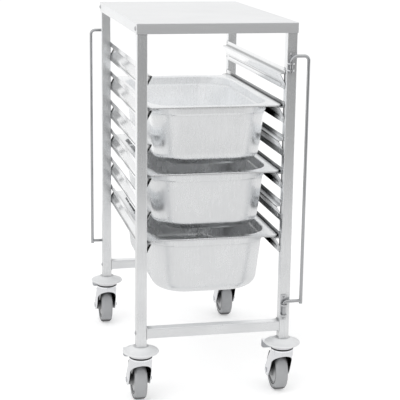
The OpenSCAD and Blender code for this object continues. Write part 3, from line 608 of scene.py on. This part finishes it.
# %% Draw it down from the rim
select_ring(tray, opening, rim)
round_down(rim, RIM_R, -1, EDGE_STEPS)
draw_down(rim, RIM_DROP - RIM_R, 0)
select_ring(tray, (0, 0), opening)
half = round_down(opening, LIP_R, 1, LIP_STEPS)
half = draw_down(half, NECK_H - LIP_R - STEP_R, 0)
half = draw_down(half, STEP_R, STEP_EASE)
half = draw_down(half, NECK_STEP - STEP_R / 2, NECK_STEP - 2 * STEP_EASE)
half = draw_down(half, STEP_R, STEP_EASE)
wall_h = TRAY_DEEP - NECK_H - NECK_STEP - STEP_R / 2 - BOTTOM_R
half = draw_down(half, wall_h, WALL_LEAN * wall_h / (wall_h + BOTTOM_R))
half = round_down(half, TRAY_SHEET - BOTTOM_R, -1, BOTTOM_STEPS)
bpy.ops.mesh.edge_face_add()
bpy.ops.mesh.select_all(action="SELECT")
bpy.ops.mesh.normals_make_consistent(inside=False)
bpy.ops.object.mode_set(mode="OBJECT")
print("half size of its flat bottom:", [round(h / MM, 1) for h in half], "mm")

# %% Give the sheet its thickness
# The shell is open, so its rim is looked at: if that faces down, the whole sheet is turned over.
highest = max(tray.data.polygons, key=lambda face: face.area * (abs(face.center.z) < SPARE))
if highest.normal.z < 0:
    bpy.ops.object.mode_set(mode="EDIT")
    bpy.ops.mesh.flip_normals()
    bpy.ops.object.mode_set(mode="OBJECT")
sheet = tray.modifiers.new("sheet", "SOLIDIFY")
sheet.thickness = TRAY_SHEET
sheet.offset = -1
bpy.ops.object.modifier_apply(modifier="sheet")
print("tray sheet:", round(TRAY_SHEET / MM, 1), "mm thick, vertices:", len(tray.data.vertices))

# %% Set three trays on their rails
TRAYS = {"tray_top": 728.3 * MM, "tray_middle": 568.3 * MM, "tray_bottom": 408.3 * MM}
TRAY_Y = -41 * MM

for node, rim_z in TRAYS.items():
    # The top tray takes the copy painted lighter and with a painted glow.
    tray_finish = BRIGHT_PAINTED_TRAY_STEEL if node == "tray_top" else TRAY_STEEL
    set_copy(tray, node + "_drawn", (0, TRAY_Y, rim_z), node, tray_finish, [node])
bpy.data.objects.remove(tray)
print("trays set:", len(TRAYS))

# %% [markdown]
# ## Rings on the castors
# Two dark lines make a castor read as a bought one: the rubber seal that closes the upper ball race,
# and the joint where the tyre is moulded on to the hub. Both are narrow rings. Inside the joint a
# plastic cover keeps threads and dirt off the axle. A ring is drawn as one vertex, extruded round
# its outline and spun about its axis.

# %% A helper for spun rings
SAME_POINT = 0.01 * MM


def spin_ring(name, outline, axis, steps):
    """A ring about the origin from the closed outline of its section, in radius and distance along."""
    bpy.ops.object.select_all(action="DESELECT")
    bpy.ops.mesh.primitive_plane_add(size=MM, location=(0, 0, 0))
    ring = bpy.context.object
    ring.name = name
    points = [Vector((0, r, along)) if axis == "Z" else Vector((along, r, 0)) for r, along in outline]
    bpy.ops.object.mode_set(mode="EDIT")
    bpy.ops.mesh.select_mode(type="VERT")
    bpy.ops.mesh.select_all(action="SELECT")
    bpy.ops.mesh.merge(type="CENTER")
    bpy.ops.transform.translate(value=points[0])
    for start, end in zip(points, points[1:] + points[:1]):
        bpy.ops.mesh.extrude_vertices_move(TRANSFORM_OT_translate={"value": end - start})
    bpy.ops.mesh.select_all(action="SELECT")
    bpy.ops.mesh.spin(steps=steps, angle=math.tau, center=(0, 0, 0),
                      axis=(0, 0, 1) if axis == "Z" else (1, 0, 0))
    bpy.ops.mesh.select_all(action="SELECT")
    bpy.ops.mesh.remove_doubles(threshold=SAME_POINT)
    bpy.ops.mesh.normals_make_consistent(inside=False)
    bpy.ops.object.mode_set(mode="OBJECT")
    return ring


# %% Spin a seal, a hub line and a hub cover
SEAL_R, SEAL_H, SEAL_Z = (24.0 * MM, 28.2 * MM), 3.6 * MM, 122 * MM
LINE_R, LINE_X, LINE_T = (34.6 * MM, 37.0 * MM), 13.85 * MM, 0.5 * MM
COVER_R, COVER_X = (15.2 * MM, 30.0 * MM, 32.5 * MM), (15.0 * MM, 12.5 * MM, 11.5 * MM, 6.5 * MM)
RING_STEPS, COVER_STEPS = 64, 48

seal = spin_ring("seal", [(SEAL_R[0], -SEAL_H / 2), (SEAL_R[1], -SEAL_H / 3),
                          (SEAL_R[1], SEAL_H / 3), (SEAL_R[0], SEAL_H / 2)], "Z", RING_STEPS)
line = spin_ring("line", [(LINE_R[0], -LINE_T / 2), (LINE_R[1], -LINE_T / 2),
                          (LINE_R[1], LINE_T / 2), (LINE_R[0], LINE_T / 2)], "X", RING_STEPS)
cover = spin_ring("cover", [(COVER_R[0], COVER_X[0]), (COVER_R[1], COVER_X[1]),
                            (COVER_R[2], COVER_X[2]), (COVER_R[2], COVER_X[3]),
                            (COVER_R[0], COVER_X[3])], "X", COVER_STEPS)
print("vertices in a seal, a line and a cover:", [len(m.data.vertices) for m in (seal, line, cover)])

# %% Set them on the four castors
SWIVEL_MM = {"front_left": (-177.5, -313.5), "front_right": (177.5, -313.5),
             "rear_left": (-177.5, 271.5), "rear_right": (177.5, 271.5)}
SIDES = {"left": -1, "right": 1}
TRAIL, WHEEL_Z = 36 * MM, 50 * MM

for corner, (x_mm, y_mm) in SWIVEL_MM.items():
    x, y = x_mm * MM, y_mm * MM
    set_copy(seal, f"race_seal_{corner}", (x, y, SEAL_Z), "frame", SEAL_RUBBER)
    for side, sign in SIDES.items():
        set_copy(line, f"hub_line_{side}_{corner}", (x + sign * LINE_X, y + TRAIL, WHEEL_Z),
                 f"wheel_{corner}", SEAL_RUBBER)
        set_copy(cover, f"hub_cover_{side}_{corner}", (x, y + TRAIL, WHEEL_Z), f"wheel_{corner}",
                 HUB_PLASTIC, turn_deg=90 - 90 * sign)
for model in (seal, line, cover):
    bpy.data.objects.remove(model)
print("rings set:", 5 * len(SWIVEL_MM))

# %% [markdown]
# ## Flanges in the forks
# A pressed fork has its rear edges turned in, which stiffens the legs and closes the view past the
# wheel. Each flange is a strip between crown and axle eye, with its corners rounded, set close to
# the tyre.

# %% Make one flange, tilted
FLANGE_X = (17.5 * MM, 26.0 * MM)
FLANGE_TOP, FLANGE_LOW = (25.5 * MM, 105.5 * MM), (46.5 * MM, 58.0 * MM)
FLANGE_T, FLANGE_BEVEL, BEVEL_STEPS = 1.5 * MM, 2.0 * MM, 4

bpy.ops.object.select_all(action="DESELECT")
bpy.ops.mesh.primitive_plane_add(size=1, location=(0, 0, 0))
flange = bpy.context.object
run, rise = FLANGE_LOW[0] - FLANGE_TOP[0], FLANGE_TOP[1] - FLANGE_LOW[1]
flange.scale = (FLANGE_X[1] - FLANGE_X[0], math.hypot(run, rise), 1)
bpy.ops.object.transform_apply(location=True, rotation=True, scale=True)
bpy.ops.object.mode_set(mode="EDIT")
bpy.ops.mesh.select_mode(type="VERT")
bpy.ops.mesh.select_all(action="SELECT")
bpy.ops.mesh.bevel(offset=FLANGE_BEVEL, offset_type="OFFSET", segments=BEVEL_STEPS, affect="VERTICES")
bpy.ops.mesh.select_all(action="SELECT")
bpy.ops.mesh.extrude_region_move(TRANSFORM_OT_translate={"value": (0, 0, -FLANGE_T)})
bpy.ops.mesh.select_all(action="SELECT")
bpy.ops.mesh.normals_make_consistent(inside=False)
bpy.ops.object.mode_set(mode="OBJECT")
flange.rotation_euler = (-math.atan2(rise, run), 0, 0)
flange.location = (0, (FLANGE_TOP[0] + FLANGE_LOW[0]) / 2, (FLANGE_TOP[1] + FLANGE_LOW[1]) / 2)
bpy.ops.object.transform_apply(location=True, rotation=True, scale=True)
print("flange", round(math.hypot(run, rise) / MM, 1), "mm long")

# %% Set two flanges in every fork
middle_x = sum(FLANGE_X) / 2
for corner, (x_mm, y_mm) in SWIVEL_MM.items():
    for side, sign in SIDES.items():
        set_copy(flange, f"fork_flange_{side}_{corner}", (x_mm * MM + sign * middle_x, y_mm * MM, 0),
                 f"castor_{corner}", FLANGE_STEEL)
bpy.data.objects.remove(flange)
print("flanges:", len(SIDES) * len(SWIVEL_MM))
